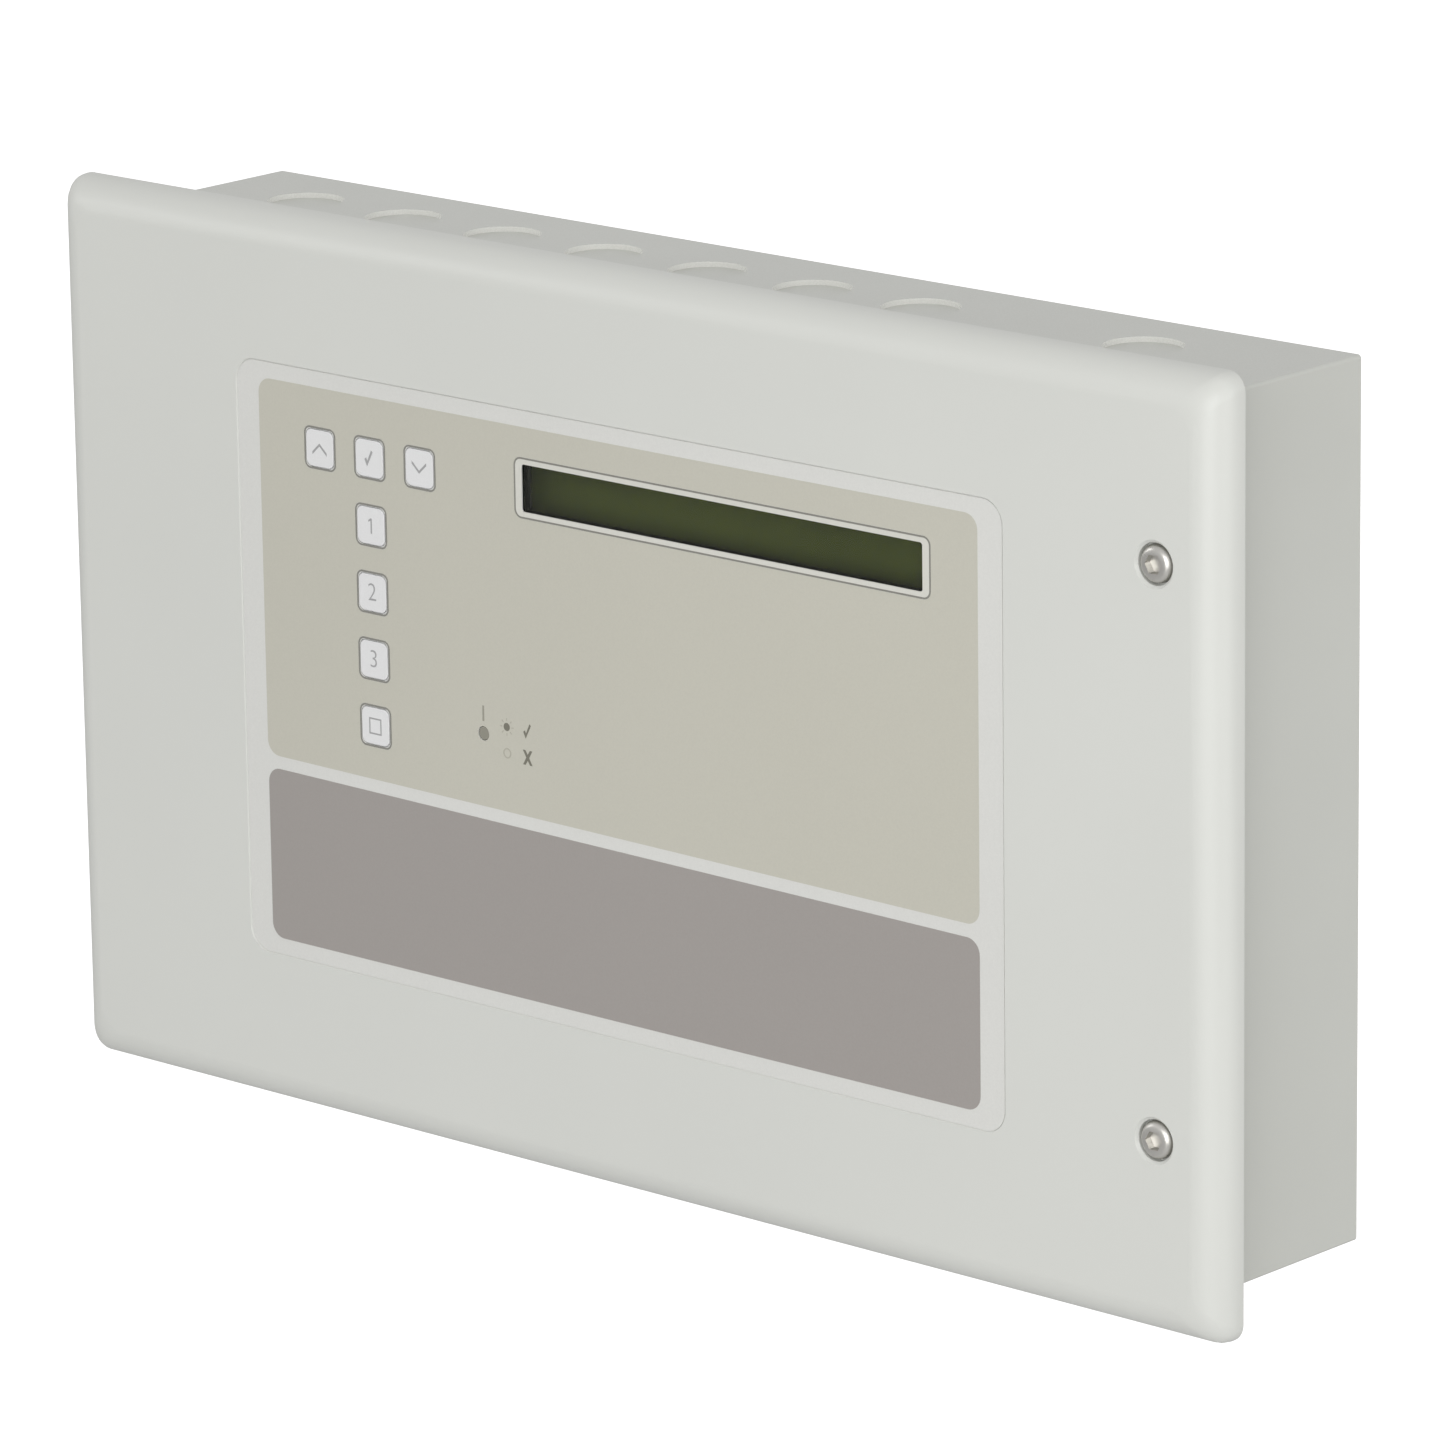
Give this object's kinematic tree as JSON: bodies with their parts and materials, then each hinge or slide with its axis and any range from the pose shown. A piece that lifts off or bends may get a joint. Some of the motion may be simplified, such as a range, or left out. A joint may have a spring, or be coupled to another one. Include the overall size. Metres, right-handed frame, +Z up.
{
  "type": "alarm control panel",
  "caption": "Wall-mounted alarm control panel: moulded lid on side hinges over a folded steel back box, with key pads, a one-line display, a status lamp, boards, battery and transformer",
  "frame": {"origin": "centre of the back face, on the wall", "axes": "+Z up; the front faces -Y; +X to the right of someone facing the panel"},
  "size_m": [0.385, 0.0702, 0.236],
  "materials": {
    "box_paint": "fine-textured light grey powder coat",
    "zinc_steel": "zinc-plated sheet and fasteners",
    "hinge_pin_steel": "plain drawn steel",
    "lid_plastic": "fine spark-textured light grey moulding",
    "label_film": "satin printed label, beige over warm grey",
    "key_film": "satin white key pads",
    "clear_window": "clear polycarbonate",
    "display_glass_dark": "dark olive liquid-crystal glass, unlit",
    "lamp_lens": "smoked translucent plastic",
    "screw_steel": "stainless steel",
    "nylon": "natural nylon",
    "circuit_board": "green solder mask",
    "black_plastic": "black moulded plastic",
    "terminal_green": "green moulded plastic",
    "heat_sink_metal": "plain extruded aluminium",
    "core_iron": "varnished steel laminations",
    "coil_tape": "yellow polyester tape",
    "fuse_ceramic": "white ceramic tube"
  },
  "bodies": {
    "root": {"back_box": "box_paint", "screw_inserts": "zinc_steel", "hinge_leaves": "zinc_steel", "hinge_pins": "hinge_pin_steel", "board_pillars": "zinc_steel", "main_board": "circuit_board", "main_board_screws": "zinc_steel", "field_terminals": "terminal_green", "capacitors": "black_plastic", "relays": "black_plastic", "heat_sink": "heat_sink_metal", "main_processor": "black_plastic", "main_header": "black_plastic", "battery": "black_plastic", "battery_tabs": "zinc_steel", "battery_clamp": "zinc_steel", "transformer_core": "core_iron", "transformer_coil": "coil_tape", "transformer_strap": "zinc_steel", "transformer_rails": "nylon", "wall_studs": "zinc_steel", "stud_nuts": "zinc_steel", "earth_tag": "zinc_steel", "mains_terminals": "terminal_green", "fuse_block": "black_plastic", "mains_fuse": "fuse_ceramic"},
    "lid_assembly": {"lid": "lid_plastic", "fascia_label": "label_film", "display_window": "clear_window", "display_gasket": "black_plastic", "key_switches": "black_plastic", "status_light_pipe": "lamp_lens", "status_lamp": "lamp_lens", "display_frame": "zinc_steel", "display_module_board": "circuit_board", "display_backlight": "nylon", "display_glass": "display_glass_dark", "display_board": "circuit_board", "display_board_screws": "zinc_steel", "display_processor": "black_plastic", "display_header": "black_plastic", "sounder": "black_plastic"},
    "key_up_button": {"key_up": "key_film"},
    "key_down_button": {"key_down": "key_film"},
    "key_accept_button": {"key_accept": "key_film"},
    "key_1_button": {"key_1": "key_film"},
    "key_2_button": {"key_2": "key_film"},
    "key_3_button": {"key_3": "key_film"},
    "key_enter_button": {"key_enter": "key_film"},
    "retainer_1": {"screw_retainer_1": "nylon"},
    "screw_1": {"lid_screw_1": "screw_steel"},
    "retainer_2": {"screw_retainer_2": "nylon"},
    "screw_2": {"lid_screw_2": "screw_steel"}
  },
  "joints": [
    {"name": "lid_hinge", "type": "hinge", "parent": "root", "child": "lid_assembly", "pos_m": [-0.1845, -0.06, 0], "axis": [0, 0, -1], "range_deg": [0, 105]},
    {"name": "key_up_press", "type": "slide", "parent": "lid_assembly", "child": "key_up_button", "axis": [0, 1, 0], "range_m": [0, 0.0005], "stiffness_N_per_m": 800, "springref_m": -0.0002},
    {"name": "key_down_press", "type": "slide", "parent": "lid_assembly", "child": "key_down_button", "axis": [0, 1, 0], "range_m": [0, 0.0005], "stiffness_N_per_m": 800, "springref_m": -0.0002},
    {"name": "key_accept_press", "type": "slide", "parent": "lid_assembly", "child": "key_accept_button", "axis": [0, 1, 0], "range_m": [0, 0.0005], "stiffness_N_per_m": 800, "springref_m": -0.0002},
    {"name": "key_1_press", "type": "slide", "parent": "lid_assembly", "child": "key_1_button", "axis": [0, 1, 0], "range_m": [0, 0.0005], "stiffness_N_per_m": 800, "springref_m": -0.0002},
    {"name": "key_2_press", "type": "slide", "parent": "lid_assembly", "child": "key_2_button", "axis": [0, 1, 0], "range_m": [0, 0.0005], "stiffness_N_per_m": 800, "springref_m": -0.0002},
    {"name": "key_3_press", "type": "slide", "parent": "lid_assembly", "child": "key_3_button", "axis": [0, 1, 0], "range_m": [0, 0.0005], "stiffness_N_per_m": 800, "springref_m": -0.0002},
    {"name": "key_enter_press", "type": "slide", "parent": "lid_assembly", "child": "key_enter_button", "axis": [0, 1, 0], "range_m": [0, 0.0005], "stiffness_N_per_m": 800, "springref_m": -0.0002},
    {"name": "screw_1_withdraw", "type": "slide", "parent": "lid_assembly", "child": "retainer_1", "axis": [0, -1, 0], "range_m": [0, 0.0034]},
    {"name": "screw_1_turn", "type": "hinge", "parent": "retainer_1", "child": "screw_1", "pos_m": [0.1733, -0.063, 0.0714], "axis": [0, -1, 0], "range_deg": [0, 1530]},
    {"name": "screw_2_withdraw", "type": "slide", "parent": "lid_assembly", "child": "retainer_2", "axis": [0, -1, 0], "range_m": [0, 0.0034]},
    {"name": "screw_2_turn", "type": "hinge", "parent": "retainer_2", "child": "screw_2", "pos_m": [0.1733, -0.063, -0.0688], "axis": [0, -1, 0], "range_deg": [0, 1530]}
  ],
  "couplings": [
    {"joint": "screw_1_turn", "follows": "screw_1_withdraw", "rad_per_m": 7854},
    {"joint": "screw_2_turn", "follows": "screw_2_withdraw", "rad_per_m": 7854}
  ]
}
